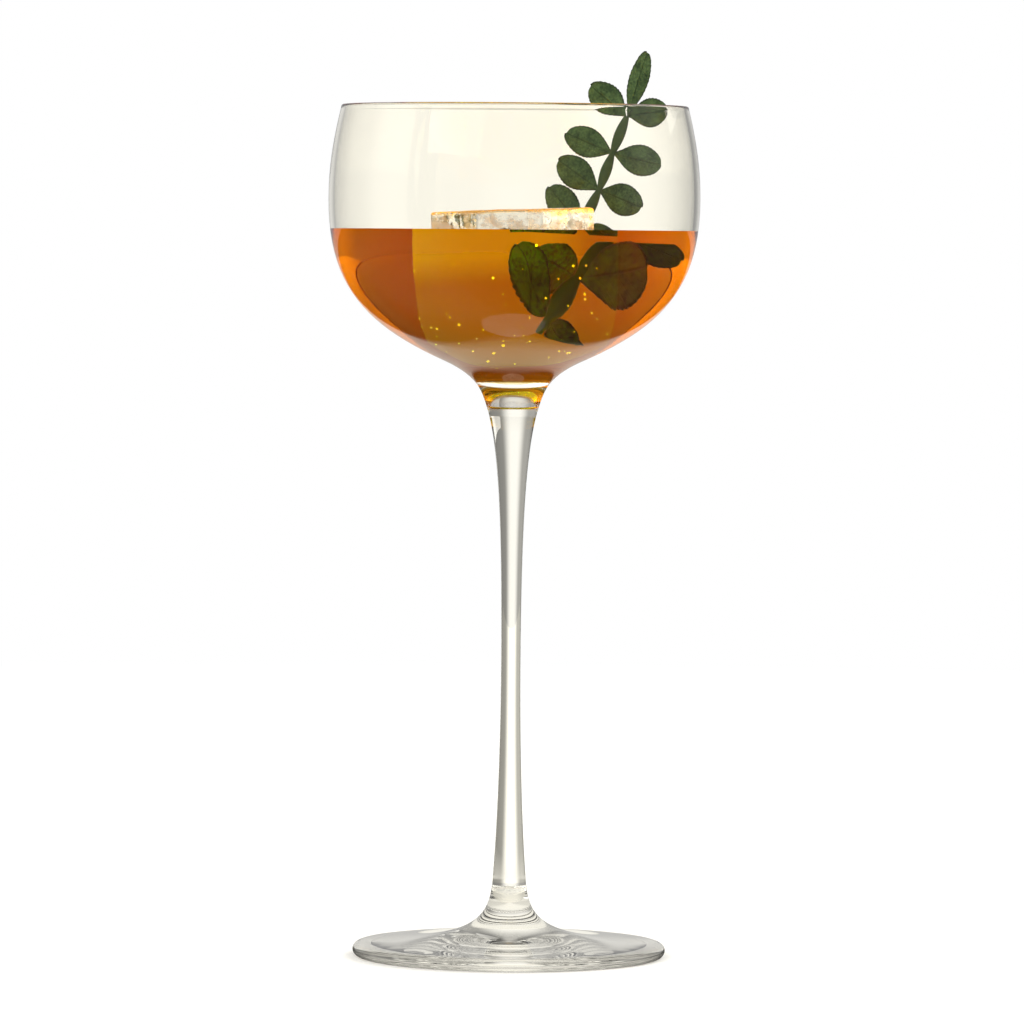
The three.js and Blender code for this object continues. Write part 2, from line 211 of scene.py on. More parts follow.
# The table is pale and matt, keeps the soft shadow, and fades to white away from the glass. Mirrored
# in the bowl's underside it shines only behind the glass; seen through the foot it is nearly even.
FLOOR_SIZE = 3.0
FLOOR_COLOUR = "#f2f0ea"
FLOOR_WARM = "#fffcf2"
FLOOR_LIFT = 0.1
FLOOR_NEAR = 0.3
FLOOR_FAR = 1.1
FLOOR_MIRRORED = 0.02
FLOOR_GLARE = 0.95
FLOOR_GLARE_FAR = 0.7
FLOOR_GLARE_BEND = 18
FLOOR_THROUGH_DRINK = 1.6
FLOOR_GAIN = 1.28
FLOOR_CALM = 0.7

floor_mesh = bpy.data.meshes.new("floor")
half = FLOOR_SIZE / 2
floor_mesh.from_pydata(
    [(-half, -half, 0), (half, -half, 0), (half, half, 0), (-half, half, 0)], [], [(0, 1, 2, 3)])
floor = bpy.data.objects.new("floor", floor_mesh)
scene.collection.objects.link(floor)
matt, tree = empty_material("pale matt table")
path = add(tree, "ShaderNodeLightPath").outputs
spot = add(tree, "ShaderNodeTexCoord").outputs["Object"]
axes = add(tree, "ShaderNodeSeparateXYZ", [spot]).outputs
aside = add(tree, "ShaderNodeMath", [axes["X"], 2.0], operation="POWER")
bent = add(tree, "ShaderNodeMath", [aside, -FLOOR_GLARE_BEND, axes["Y"]], operation="MULTIPLY_ADD")
glare = add(tree, "ShaderNodeMapRange", {
    "Value": bent, "From Min": 0.03, "From Max": 0.08, "To Min": FLOOR_MIRRORED, "To Max": FLOOR_GLARE})
fading = add(tree, "ShaderNodeMapRange", {
    "Value": axes["Y"], "From Min": 0.2, "From Max": 0.7, "To Min": 1.0, "To Max": FLOOR_GLARE_FAR})
mirror = add(tree, "ShaderNodeMath", [glare, fading], operation="MULTIPLY")
away = add(tree, "ShaderNodeVectorMath", [spot], operation="LENGTH").outputs["Value"]
calm = add(tree, "ShaderNodeMapRange", {
    "Value": away, "From Min": 0.06, "From Max": 0.15, "To Min": FLOOR_CALM, "To Max": 0.0})
through = lit_walls(tree, spot, FLOOR_THROUGH_DRINK, FLOOR_GAIN, calm)
seen = add(tree, "ShaderNodeMix", {0: path["Is Transmission Ray"], 2: mirror, 3: through})
diffuse = add(tree, "ShaderNodeBsdfDiffuse", {"Color": linear(FLOOR_COLOUR)})
lift = add(tree, "ShaderNodeMath", [path["Is Camera Ray"], FLOOR_LIFT], operation="MULTIPLY")
glow = add(tree, "ShaderNodeEmission", {"Color": linear(WHITE), "Strength": lift})
near_by = add(tree, "ShaderNodeAddShader", [diffuse, glow])
white = add(tree, "ShaderNodeEmission", {"Color": linear(WHITE), "Strength": 1.0})
far = add(tree, "ShaderNodeMapRange", {"Value": away, "From Min": FLOOR_NEAR, "From Max": FLOOR_FAR})
table = add(tree, "ShaderNodeMixShader", [far, near_by, white])
in_glass = add(tree, "ShaderNodeEmission", {"Color": linear(FLOOR_WARM), "Strength": seen})
off_matt = add(tree, "ShaderNodeMath", [path["Diffuse Depth"], 0.5], operation="LESS_THAN")
by_glass = add(tree, "ShaderNodeMath", [path["Is Glossy Ray"], off_matt], operation="MULTIPLY")
either = add(tree, "ShaderNodeMixShader", [by_glass, table, in_glass])
add(tree, "ShaderNodeOutputMaterial", {"Surface": either})
floor_mesh.materials.append(matt)
floor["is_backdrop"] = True

# Each lamp's name, place, width and power; the glass doesn't mirror them.
LAMPS = [
    ("back right lamp", (0.9, 1.0, 0.9), 1.0, 14),
    ("front left lamp", (-1.0, -1.2, 1.1), 1.2, 12),
]
LAMP_AIM = Vector((0, 0, 0.12))
for name, spot, size, watts in LAMPS:
    lamp = bpy.data.lights.new(name, "AREA")
    lamp.size = size
    lamp.energy = watts
    holder = bpy.data.objects.new(name, lamp)
    holder.location = spot
    holder.rotation_euler = (LAMP_AIM - Vector(spot)).to_track_quat("-Z", "Y").to_euler()
    holder.visible_glossy = False
    holder.visible_transmission = False
    scene.collection.objects.link(holder)

# Foot: clear lead-free crystal, pressed while hot into a thin disc with a rounded edge, its top
# sweeping up into the collar that closes over the stem's lower end. It stands on a flat ring.
MM = 0.001
A_HAIR = 0.01 * MM
foot_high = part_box("foot")[1]
FOOT_RADIUS = foot_high.x
SEAM_LOW = foot_high.z
FOOT_EDGE = 3.2 * MM
FOOT_RING_WIDTH = 3 * MM
FOOT_DISH_DEPTH = 1.4 * MM
FOOT_TOP_SLOPE = 3
FOOT_TOP_REACH = 25.5 * MM
COLLAR_RADIUS = 4.2 * MM
COLLAR_LEAN = 5.7
COLLAR_FLARE = 10 * MM
STEM_END_DOME = 2.7 * MM
GLASS_SEGMENTS = 160
CURVE_STEPS = 22


def along(start, distance, degrees):
    """The point at a distance from another, in a direction measured from the horizontal."""
    angle = math.radians(degrees)
    return (start[0] + distance * math.cos(angle), start[1] + distance * math.sin(angle))


def sweep(start, start_handle, end_handle, end, steps=CURVE_STEPS):
    """Points of a cubic arc in the plane of radius and height."""
    points = []
    for i in range(steps + 1):
        t = i / steps
        weights = ((1 - t) ** 3, 3 * t * (1 - t) ** 2, 3 * t * t * (1 - t), t ** 3)
        corners = (start, start_handle, end_handle, end)
        points.append(tuple(sum(w * c[k] for w, c in zip(weights, corners)) for k in (0, 1)))
    return points


def arc(centre, radius, start, end, steps):
    """Points of a round arc between two angles in degrees."""
    return [along(centre, radius, start + (end - start) * i / steps) for i in range(steps + 1)]


def cap(rim_radius, rim_height, rise, steps=12):
    """Spherical cap from its apex on the axis out to its rim."""
    depth = abs(rise)
    radius = (rim_radius ** 2 + depth ** 2) / (2 * depth)
    turn = math.asin(rim_radius / radius)
    sign = math.copysign(1, rise)
    centre = rim_height + rise - sign * radius
    return [(radius * math.sin(turn * i / steps), centre + sign * radius * math.cos(turn * i / steps))
            for i in range(steps + 1)]


def joined(*stretches):
    """Stretches of an outline in one, without repeated points."""
    points = [p for stretch in stretches for p in stretch]
    return [p for i, p in enumerate(points) if i == 0 or math.dist(p, points[i - 1]) > 1e-7]


def rule(name, inputs, output):
    """A Geometry Nodes tree with named inputs, and the identifiers by which a modifier sets them."""
    tree = bpy.data.node_groups.new(name, "GeometryNodeTree")
    sockets = {}
    for label, kind in inputs.items():
        socket = tree.interface.new_socket(label, in_out="INPUT", socket_type="NodeSocket" + kind)
        sockets[label] = socket.identifier
    tree.interface.new_socket(output, in_out="OUTPUT", socket_type="NodeSocketGeometry")
    return tree, sockets


# The turning rule: an outline in radius and height is carried round a very small circle.
HUB_RADIUS = 1e-5
MERGE_DISTANCE = 2e-7
turning, turning_inputs = rule("turn outline round the axis", {
    "Outline": "Geometry", "Segments": "Int", "Hub radius": "Float", "Material": "Material"}, "Piece")
given = add(turning, "NodeGroupInput").outputs
section = add(turning, "GeometryNodeMeshToCurve", {"Mesh": given["Outline"]})
hub = add(turning, "GeometryNodeCurvePrimitiveCircle", {
    "Resolution": given["Segments"], "Radius": given["Hub radius"]})
upright = add(turning, "GeometryNodeSetCurveNormal", {"Curve": hub}, mode="Z_UP")
skin = add(turning, "GeometryNodeCurveToMesh", {"Curve": upright, "Profile Curve": section})
closed = add(turning, "GeometryNodeMergeByDistance", {"Geometry": skin, "Distance": MERGE_DISTANCE})
smooth = add(turning, "GeometryNodeSetShadeSmooth", {"Geometry": closed})
real = add(turning, "GeometryNodeRealizeInstances", {"Geometry": smooth})
dressed = add(turning, "GeometryNodeSetMaterial", {"Geometry": real, "Material": given["Material"]})
add(turning, "NodeGroupOutput", {"Piece": dressed})


def face_outwards(mesh):
    """Turns the faces of a mesh all one way, which is outwards where it is closed."""
    shape = bmesh.new()
    shape.from_mesh(mesh)
    bmesh.ops.recalc_face_normals(shape, faces=shape.faces)
    shape.to_mesh(mesh)
    shape.free()


def settle(name, start, tree, sockets, values):
    """Runs a rule on a start mesh and keeps what it makes as a plain mesh under its piece's name."""
    holder = bpy.data.objects.new(name + " start", start)
    maker = holder.modifiers.new("rule", "NODES")
    maker.node_group = tree
    for key, value in values.items():
        maker[sockets[key]] = value
    scene.collection.objects.link(holder)
    graph = bpy.context.evaluated_depsgraph_get()
    mesh = bpy.data.meshes.new_from_object(
        holder.evaluated_get(graph), preserve_all_data_layers=True, depsgraph=graph)
    holder.modifiers.remove(maker)
    bpy.data.objects.remove(holder)
    mesh.name = name
    face_outwards(mesh)
    piece = bpy.data.objects.new(name, mesh)
    scene.collection.objects.link(piece)
    return piece


def turned(name, points, material, segments=GLASS_SEGMENTS):
    """A piece turned from its outline, which starts and ends on the axis."""
    flat = bpy.data.meshes.new(name + " outline")
    corners = [(radius - HUB_RADIUS, -height, 0) for radius, height in points]
    flat.from_pydata(corners, [(i, i + 1) for i in range(len(corners) - 1)], [])
    return settle(name, flat, turning, turning_inputs, {
        "Segments": segments, "Hub radius": HUB_RADIUS, "Material": material})


# Clear crystal, fire polished: perfectly smooth, with a faint warmth that shows through two walls.
CRYSTAL_COLOUR = "#fefdf8"
CRYSTAL_IOR = 1.5
clear_glass, tree = empty_material("fire polished crystal")
polished = add(tree, "ShaderNodeBsdfPrincipled", {
    "Base Color": linear(CRYSTAL_COLOUR), "Transmission Weight": 1.0, "Roughness": 0.0,
    "IOR": CRYSTAL_IOR})
add(tree, "ShaderNodeOutputMaterial", {"Surface": polished})

# Where two gathers of hot glass were fused nothing reflects, so light goes straight on.
SEAM_FACES = 1
fused, tree = empty_material("fused crystal seam")
clear = add(tree, "ShaderNodeBsdfRefraction", {"Roughness": 0.0, "IOR": 1.0})
add(tree, "ShaderNodeOutputMaterial", {"Surface": clear})


def fuse(piece, on_seam):
    """Gives the faces of a fused seam their own material."""
    piece.data.materials.append(fused)
    for face in piece.data.polygons:
        radius = math.hypot(face.center.x, face.center.y)
        if on_seam(radius, face.center.z):
            face.material_index = SEAM_FACES


def place(piece, body, slot, *nodes):
    """The piece stands for its CAD nodes and moves with their body."""
    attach(piece, body)
    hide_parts(*nodes)


edge_centre = (FOOT_RADIUS - FOOT_EDGE / 2, FOOT_EDGE / 2)
ring_inside = (edge_centre[0] - FOOT_RING_WIDTH, 0)
collar = (COLLAR_RADIUS, SEAM_LOW)
lower_seat = cap(COLLAR_RADIUS, SEAM_LOW, -STEM_END_DOME)
foot_dish = sweep(
    (0, FOOT_DISH_DEPTH), (ring_inside[0] / 2, FOOT_DISH_DEPTH),
    (ring_inside[0] * 0.75, 0), ring_inside)
foot_edge = arc(edge_centre, FOOT_EDGE / 2, -90, 90 - FOOT_TOP_SLOPE, 16)
foot_top = sweep(
    foot_edge[-1],
    along(foot_edge[-1], FOOT_TOP_REACH, 180 - FOOT_TOP_SLOPE),
    along(collar, COLLAR_FLARE, COLLAR_LEAN - 90),
    collar, steps=40)
foot = turned("foot", joined(foot_dish, foot_edge, foot_top, lower_seat[::-1]), clear_glass)
fuse(foot, lambda radius, height: radius < COLLAR_RADIUS - A_HAIR and height > SEAM_LOW / 2)
place(foot, "glass", "clear_glass", "foot")

# Stem: a solid rod of the same crystal, drawn out thin while hot; its two domed ends were pushed
# into the soft foot and bowl and fused there.
stem_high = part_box("stem")[1]
SEAM_HIGH = stem_high.z - STEM_END_DOME
STEM_TOP_RADIUS = stem_high.x
STEM_WAIST_RADIUS = 2.35 * MM
STEM_WAIST_HEIGHT = 54.5 * MM
STEM_TOP_LEAN = 17
STEM_TOP_TAPER = 9 * MM
STEM_UPPER_SWEEP = 36 * MM
STEM_LOWER_SWEEP = 25 * MM
STEM_LOWER_TAPER = 8 * MM

stem_top = (STEM_TOP_RADIUS, SEAM_HIGH)
waist = (STEM_WAIST_RADIUS, SEAM_LOW + STEM_WAIST_HEIGHT)
upper_seat = cap(STEM_TOP_RADIUS, SEAM_HIGH, STEM_END_DOME)
stem_lower = sweep(
    collar, along(collar, STEM_LOWER_TAPER, 90 + COLLAR_LEAN),
    along(waist, STEM_LOWER_SWEEP, -90), waist)
stem_upper = sweep(
    waist, along(waist, STEM_UPPER_SWEEP, 90),
    along(stem_top, STEM_TOP_TAPER, -90 - STEM_TOP_LEAN), stem_top)
stem = turned("stem", joined(lower_seat, stem_lower, stem_upper, upper_seat[::-1]), clear_glass)
fuse(stem, lambda radius, height: height < SEAM_LOW or height > SEAM_HIGH)
stem.visible_glossy = False
place(stem, "glass", "clear_glass", "stem")

# Bowl: crystal blown thin, its lip cut and melted round, its underside thickening into the boss
# that closes over the stem's upper end.
bowl_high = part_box("bowl")[1]
RIM_HEIGHT = bowl_high.z
BELLY_RADIUS = bowl_high.x
FLOOR_HEIGHT = SEAM_HIGH + 6.9 * MM
BOSS_FLARE = 5 * MM
BELLY_HEIGHT = FLOOR_HEIGHT + 43.8 * MM
BELLY_RISE = 8 * MM
BELLY_DROP = 21.5 * MM
BELLY_WALL = 1.4 * MM
RIM_RADIUS = 42.15 * MM
RIM_LEAN = 13.5
RIM_REACH = 8 * MM
RIM_WALL = 1.2 * MM
UNDERSIDE = (17 * MM, FLOOR_HEIGHT + 4.8 * MM)
UNDERSIDE_SLOPE = 24
UNDERSIDE_REACH = 20 * MM
UNDERSIDE_TUCK = 9 * MM
UNDERSIDE_WALL = 2 * MM
FLOOR_FLAT = 7 * MM


def bowl_inside(spread):
    """The bowl's inside from the middle of its floor to the lip, pushed outwards by a distance."""
    bottom = (0, FLOOR_HEIGHT - spread)
    corner = along(UNDERSIDE, UNDERSIDE_WALL, 90 + UNDERSIDE_SLOPE)
    under = (corner[0] + spread, corner[1] - spread)
    belly = (BELLY_RADIUS - BELLY_WALL + spread, BELLY_HEIGHT)
    rim = (RIM_RADIUS - RIM_WALL + spread, RIM_HEIGHT - RIM_WALL / 2)
    return joined(
        sweep(bottom, along(bottom, FLOOR_FLAT, 0),
              along(under, UNDERSIDE_TUCK, UNDERSIDE_SLOPE - 180), under),
        sweep(under, along(under, UNDERSIDE_REACH, UNDERSIDE_SLOPE),
              along(belly, BELLY_DROP, -90), belly),
        sweep(belly, along(belly, BELLY_RISE, 90), along(rim, RIM_REACH, RIM_LEAN - 90), rim))


belly = (BELLY_RADIUS, BELLY_HEIGHT)
lip = arc((RIM_RADIUS - RIM_WALL / 2, RIM_HEIGHT - RIM_WALL / 2), RIM_WALL / 2, 0, 180, 14)
bowl_outside = joined(
    sweep(stem_top, along(stem_top, BOSS_FLARE, 90 - STEM_TOP_LEAN),
          along(UNDERSIDE, UNDERSIDE_TUCK, UNDERSIDE_SLOPE - 180), UNDERSIDE),
    sweep(UNDERSIDE, along(UNDERSIDE, UNDERSIDE_REACH, UNDERSIDE_SLOPE),
          along(belly, BELLY_DROP, -90), belly),
    sweep(belly, along(belly, BELLY_RISE, 90), along(lip[0], RIM_REACH, RIM_LEAN - 90), lip[0]))
bowl = turned("bowl", joined(upper_seat, bowl_outside, lip, bowl_inside(0)[::-1]), clear_glass)
fuse(bowl, lambda radius, height:
     radius < STEM_TOP_RADIUS - A_HAIR and height < SEAM_HIGH + STEM_END_DOME)

# Crystal that the drink wets: it bends light only by the step from crystal to drink, so hardly any
# light comes back from it; above the drink it is plain crystal.
DRINK_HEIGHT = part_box("drink")[1].z
DRINK_IOR = 1.34
WET_FACES = 2
LIP_FACES = 3


def above_drink(tree):
    """1 where a surface stands over the drink's level, and 0 under it."""
    spot = add(tree, "ShaderNodeSeparateXYZ", [add(tree, "ShaderNodeNewGeometry").outputs["Position"]])
    return add(tree, "ShaderNodeMath", [spot.outputs["Z"], DRINK_HEIGHT], operation="GREATER_THAN")


wet_glass = clear_glass.copy()
wet_glass.name = "crystal wetted inside"
tree = wet_glass.node_tree
dry = tree.nodes["Principled BSDF"]
wet = add(tree, "ShaderNodeBsdfPrincipled", {
    "Base Color": linear(WHITE), "Transmission Weight": 1.0, "Roughness": 0.0,
    "IOR": CRYSTAL_IOR / DRINK_IOR})
either = add(tree, "ShaderNodeMixShader", [above_drink(tree), wet, dry])
tree.links.new(either.outputs[0], tree.nodes["Material Output"].inputs["Surface"])
bowl.data.materials.append(wet_glass)
for face in bowl.data.polygons:
    faces_axis = face.normal.x * face.center.x + face.normal.y * face.center.y < 0
    if face.center.z > FLOOR_HEIGHT - A_HAIR and (faces_axis or face.normal.z > 0.99):
        face.material_index = WET_FACES

# Crystal at the lip: light that enters the rounded lip runs down inside the wall and is lost to the
# eye, so the lip draws a thin grey line; that grey is painted shade, a grey tint in the lip's crystal.
LIP_PAINTED_SHADE = "#c4c4bf"
lip_glass_painted_shade = clear_glass.copy()
lip_glass_painted_shade.name = "crystal lip with painted shade"
lip_glass_painted_shade.node_tree.nodes["Principled BSDF"].inputs["Base Color"].default_value = linear(LIP_PAINTED_SHADE)
bowl.data.materials.append(lip_glass_painted_shade)
for face in bowl.data.polygons:
    if face.center.z > RIM_HEIGHT - RIM_WALL / 2:
        face.material_index = LIP_FACES
place(bowl, "glass", "clear_glass", "bowl")

# Drink: a clear amber cocktail that wets the glass, so its skin lies inside the wall's thickness;
# its surface is level.
DRINK_SPREAD = 0.06 * MM
DRINK_COLOUR = "#f6df00"
DRINK_DENSITY = 125.0
SURFACE_RINGS = 60

# Clear amber: a mirror-smooth surface over a colour that deepens with the light's way through it.
# Where the attribute "skin" is 1 the drink lies against the wall, which does the bending.
amber, tree = empty_material("clear amber drink")
surface = add(tree, "ShaderNodeBsdfPrincipled", {
    "Base Color": linear(WHITE), "Transmission Weight": 1.0, "Roughness": 0.0, "IOR": DRINK_IOR})
inside = add(tree, "ShaderNodeAttribute", attribute_name="skin")
straight = add(tree, "ShaderNodeBsdfTransparent")
either = add(tree, "ShaderNodeMixShader", [inside.outputs["Fac"], surface, straight])
absorb = add(tree, "ShaderNodeVolumeAbsorption", {
    "Color": linear(DRINK_COLOUR), "Density": DRINK_DENSITY})
add(tree, "ShaderNodeOutputMaterial", {"Surface": either, "Volume": absorb})

wetted = [p for p in bowl_inside(DRINK_SPREAD) if p[1] < DRINK_HEIGHT]
DRINK_RADIUS = wetted[-1][0] - DRINK_SPREAD
level = [(DRINK_RADIUS * (1 - i / SURFACE_RINGS), DRINK_HEIGHT) for i in range(SURFACE_RINGS + 1)]
drink = turned("drink", joined(wetted, level), amber)

# Only the open surface bends light: the skin against the wall passes it straight on.
skin = drink.data.attributes.new("skin", "FLOAT", "FACE")
for face in drink.data.polygons:
    skin.data[face.index].value = float(face.center.z < DRINK_HEIGHT - A_HAIR)
place(drink, "glass", "amber_drink", "drink")

# Ice: a clear cube, melted smooth, standing on the bowl's side with its top out of the drink. Below
# the surface it shows only as a lighter block, because ice and drink bend light nearly alike.
ice_low, ice_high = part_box("ice_cube")
ICE_SIDE = 29.5 * MM
ICE_EDGE = 1.2 * MM
ICE_TURN = 54.4
ICE_TILT = 2
ICE_CUTS = 44
ICE_WAVES = ((8 * MM, 0.55 * MM), (2.4 * MM, 0.15 * MM))
ICE_COLOUR = "#fdfbf7"
ICE_IOR = 1.31
ICE_IN_DRINK_IOR = 0.975
ICE_ROUGHNESS = 0.02
ICE_RIPPLE = 1.6 * MM
FROST_COLOUR = "#f7f4ec"
FROST_PATCH = 7 * MM
FROST_MOST = 0.6

# Clear ice: in the air it bends light as ice does; under the surface it bends it as ice does in the
# drink, hardly at all, and passes more light than the drink that it takes the place of. On top of that,
# painted light makes it brightest near its top, and painted shade makes it darker to the right. Frost
# clouds what stands in the air.
ICE_GAIN = (1.22, 2.1, 2.1, 1)
ICE_PAINTED_LIGHT_NEAR_TOP = (1.75, 4.4, 2.1, 1)
ICE_PAINTED_SHADE_ON_RIGHT = (1.05, 1.4, 1.2, 1)
clear_ice, tree = empty_material("clear ice")
where = add(tree, "ShaderNodeTexCoord").outputs["Object"]
melt = add(tree, "ShaderNodeTexNoise", {"Vector": where, "Scale": 1 / ICE_RIPPLE, "Detail": 2.0})
ripple = add(tree, "ShaderNodeBump", {
    "Height": melt.outputs["Fac"], "Strength": 0.35, "Distance": 0.12 * MM})
face = add(tree, "ShaderNodeNewGeometry").outputs
spot = add(tree, "ShaderNodeSeparateXYZ", [face["Position"]]).outputs
# Painted light: the ice's gain rises towards its top.
painted_light_near_top = add(tree, "ShaderNodeMapRange", {
    "Value": spot["Z"], "From Min": DRINK_HEIGHT - 11 * MM, "From Max": DRINK_HEIGHT - 4 * MM},
    interpolation_type="SMOOTHSTEP")
gain = add(tree, "ShaderNodeMix", {
    0: painted_light_near_top, 6: ICE_GAIN, 7: ICE_PAINTED_LIGHT_NEAR_TOP}, data_type="RGBA").outputs[2]
# Painted shade: the ice's gain drops to the right.
painted_shade_to_the_right = add(tree, "ShaderNodeMapRange", {
    "Value": spot["X"], "From Min": 5 * MM, "From Max": 18 * MM}, interpolation_type="SMOOTHSTEP")
gain = add(tree, "ShaderNodeMix", {
    0: painted_shade_to_the_right, 6: gain, 7: ICE_PAINTED_SHADE_ON_RIGHT}, data_type="RGBA").outputs[2]
going_in = add(tree, "ShaderNodeBsdfGlass", {
    "Color": gain, "Roughness": ICE_ROUGHNESS, "IOR": ICE_IN_DRINK_IOR, "Normal": ripple})
going_out = add(tree, "ShaderNodeBsdfTransparent")
in_drink = add(tree, "ShaderNodeMixShader", [face["Backfacing"], going_in, going_out])
bare = add(tree, "ShaderNodeBsdfGlass", {
    "Color": linear(ICE_COLOUR), "Roughness": ICE_ROUGHNESS, "IOR": ICE_IOR, "Normal": ripple})
drawn_out = add(tree, "ShaderNodeMapping", {"Vector": where, "Scale": (1, 1, 2.2)})
clouds = add(tree, "ShaderNodeTexNoise", {
    "Vector": drawn_out, "Scale": 1 / FROST_PATCH, "Detail": 5.0, "Roughness": 0.65})
patches = add(tree, "ShaderNodeMapRange", {
    "Value": clouds.outputs["Fac"], "From Min": 0.47, "From Max": 0.6,
    "To Min": 0.0, "To Max": FROST_MOST})
frost = add(tree, "ShaderNodeBsdfTranslucent", {"Color": linear(FROST_COLOUR), "Normal": ripple})
in_air = add(tree, "ShaderNodeMixShader", [patches, bare, frost])
either = add(tree, "ShaderNodeMixShader", [above_drink(tree), in_drink, in_air])
add(tree, "ShaderNodeOutputMaterial", {"Surface": either})

shape = bmesh.new()
bmesh.ops.create_cube(shape, size=ICE_SIDE)
bmesh.ops.subdivide_edges(shape, edges=shape.edges[:], cuts=ICE_CUTS, use_grid_fill=True)
stand = (Matrix.Translation((ice_low + ice_high) / 2) @ Matrix.Rotation(math.radians(-ICE_TILT), 4, "Y")
         @ Matrix.Rotation(math.radians(ICE_TURN), 4, "Z"))
core = ICE_SIDE / 2 - ICE_EDGE
for corner in shape.verts:
    inner = Vector(max(-core, min(core, c)) for c in corner.co)
    outward = (corner.co - inner).normalized()
    corner.co = inner + outward * ICE_EDGE
    for reach, depth in ICE_WAVES:
        corner.co -= outward * depth * (0.5 + 0.5 * noise.noise(corner.co / reach))
shape.transform(stand)
ice_mesh = bpy.data.meshes.new("ice")
for face in shape.faces:
    face.smooth = True
shape.to_mesh(ice_mesh)
shape.free()
ice_mesh.materials.append(clear_ice)
ice = bpy.data.objects.new("ice", ice_mesh)
scene.collection.objects.link(ice)

# Bubbles: specks of air that the melting leaves on the drowned faces, scattered by a rule.
BUBBLE_SMALLEST = 0.1 * MM
BUBBLE_LARGEST = 0.3 * MM
BUBBLE_DENSITY = 0.014 / MM ** 2
BUBBLE_DEPTH = 2 * MM
BUBBLE_SEED = 7
bubbling, bubbling_inputs = rule("bubbles on the ice", {
    "Ice": "Geometry", "Level": "Float", "Density": "Float", "Smallest": "Float", "Largest": "Float",
    "Seed": "Int", "Material": "Material"}, "Bubbles")
given = add(bubbling, "NodeGroupInput").outputs
spot = add(bubbling, "ShaderNodeSeparateXYZ", [add(bubbling, "GeometryNodeInputPosition")])
drowned = add(bubbling, "FunctionNodeCompare", [spot.outputs["Z"], given["Level"]],
              operation="LESS_THAN")
spots = add(bubbling, "GeometryNodeDistributePointsOnFaces", {
    "Mesh": given["Ice"], "Selection": drowned, "Density": given["Density"], "Seed": given["Seed"]})
radius = add(bubbling, "FunctionNodeRandomValue", {
    2: given["Smallest"], 3: given["Largest"], 8: given["Seed"]}, data_type="FLOAT")
ball = add(bubbling, "GeometryNodeMeshIcoSphere", {"Radius": 1.0, "Subdivisions": 2})
each = add(bubbling, "GeometryNodeInstanceOnPoints", {
    "Points": spots, "Instance": ball, "Scale": radius.outputs[1]})
real = add(bubbling, "GeometryNodeRealizeInstances", [each])
dressed = add(bubbling, "GeometryNodeSetMaterial", {"Geometry": real, "Material": given["Material"]})
add(bubbling, "NodeGroupOutput", {"Bubbles": dressed})

# Air in the drink: a gain above one in each bubble's colour paints a highlight, a bright speck;
# out of the drink it is gone.
BUBBLE_PAINTED_GLINT = (1.5, 1.9, 1.6, 1)
BUBBLE_IOR = 0.75
AIR_FACES = 1
air, tree = empty_material("air bubble")
hollow = add(tree, "ShaderNodeBsdfGlass", {"Color": BUBBLE_PAINTED_GLINT, "Roughness": 0.0, "IOR": BUBBLE_IOR})
burst = add(tree, "ShaderNodeBsdfTransparent")
either = add(tree, "ShaderNodeMixShader", [above_drink(tree), hollow, burst])
add(tree, "ShaderNodeOutputMaterial", {"Surface": either})

bubbles = settle("bubbles", ice_mesh.copy(), bubbling, bubbling_inputs, {
    "Level": DRINK_HEIGHT - BUBBLE_DEPTH, "Density": BUBBLE_DENSITY, "Smallest": BUBBLE_SMALLEST,
    "Largest": BUBBLE_LARGEST, "Seed": BUBBLE_SEED, "Material": air})
shape = bmesh.new()
shape.from_mesh(ice_mesh)
solid = len(shape.faces)
shape.from_mesh(bubbles.data)
for face in list(shape.faces)[solid:]:
    face.smooth = True
    face.material_index = AIR_FACES
shape.to_mesh(ice_mesh)
shape.free()
ice_mesh.materials.append(air)
bpy.data.objects.remove(bubbles)
place(ice, "ice", "clear_ice", "ice_cube")

# Sprig stalk: a flat green rachis with a leafy wing along each stretch, bent where it goes down
# behind the ice, its cut end in the drink.
stalk_low, stalk_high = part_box("sprig_stalk")
RACHIS_WING = 2.7 * MM
RACHIS_NODE = 1.2 * MM
RACHIS_THICKNESS = 1 * MM
STALK_END = 2.5 * MM
NODE_SPACING = 10 * MM
RACHIS_STEPS = 12
RACHIS_SIDES = 16
# Each stretch's share of the spacing and its lean from upright, from the tip down.
INTERNODES = [(1.01, 20.4), (0.91, 20.3), (0.96, 26.8), (0.82, 41.6), (0.58, 42.9)]

top_lean = math.radians(INTERNODES[0][1])
nodes = [Vector((
    stalk_high.x - RACHIS_NODE / 2 * math.cos(top_lean),
    (stalk_low.y + stalk_high.y) / 2,
    stalk_high.z - RACHIS_NODE / 2 * math.sin(top_lean)))]
for share, lean in INTERNODES + [(STALK_END / NODE_SPACING, INTERNODES[-1][1])]:
    angle = math.radians(lean)
    nodes.append(nodes[-1] + share * NODE_SPACING * Vector((-math.sin(angle), 0, -math.cos(angle))))

stations = []
for i, (start, end) in enumerate(zip(nodes, nodes[1:])):
    wing = RACHIS_WING - RACHIS_NODE if i < len(INTERNODES) else 0
    for k in range(RACHIS_STEPS):
        t = k / RACHIS_STEPS
        stations.append((start.lerp(end, t), RACHIS_NODE + wing * math.sin(math.pi * t)))
stations.append((nodes[-1], RACHIS_NODE))
corners = []
for i, (spot, width) in enumerate(stations):
    run = (stations[min(i + 2, len(stations) - 1)][0] - stations[max(i - 2, 0)][0]).normalized()
    across = Vector((-run.z, 0, run.x))
    for k in range(RACHIS_SIDES):
        turn = 2 * math.pi * k / RACHIS_SIDES
        corners.append(spot + across * width / 2 * math.cos(turn)
                       + Vector((0, 1, 0)) * RACHIS_THICKNESS / 2 * math.sin(turn))
rings = [[i * RACHIS_SIDES + k for k in range(RACHIS_SIDES)] for i in range(len(stations))]
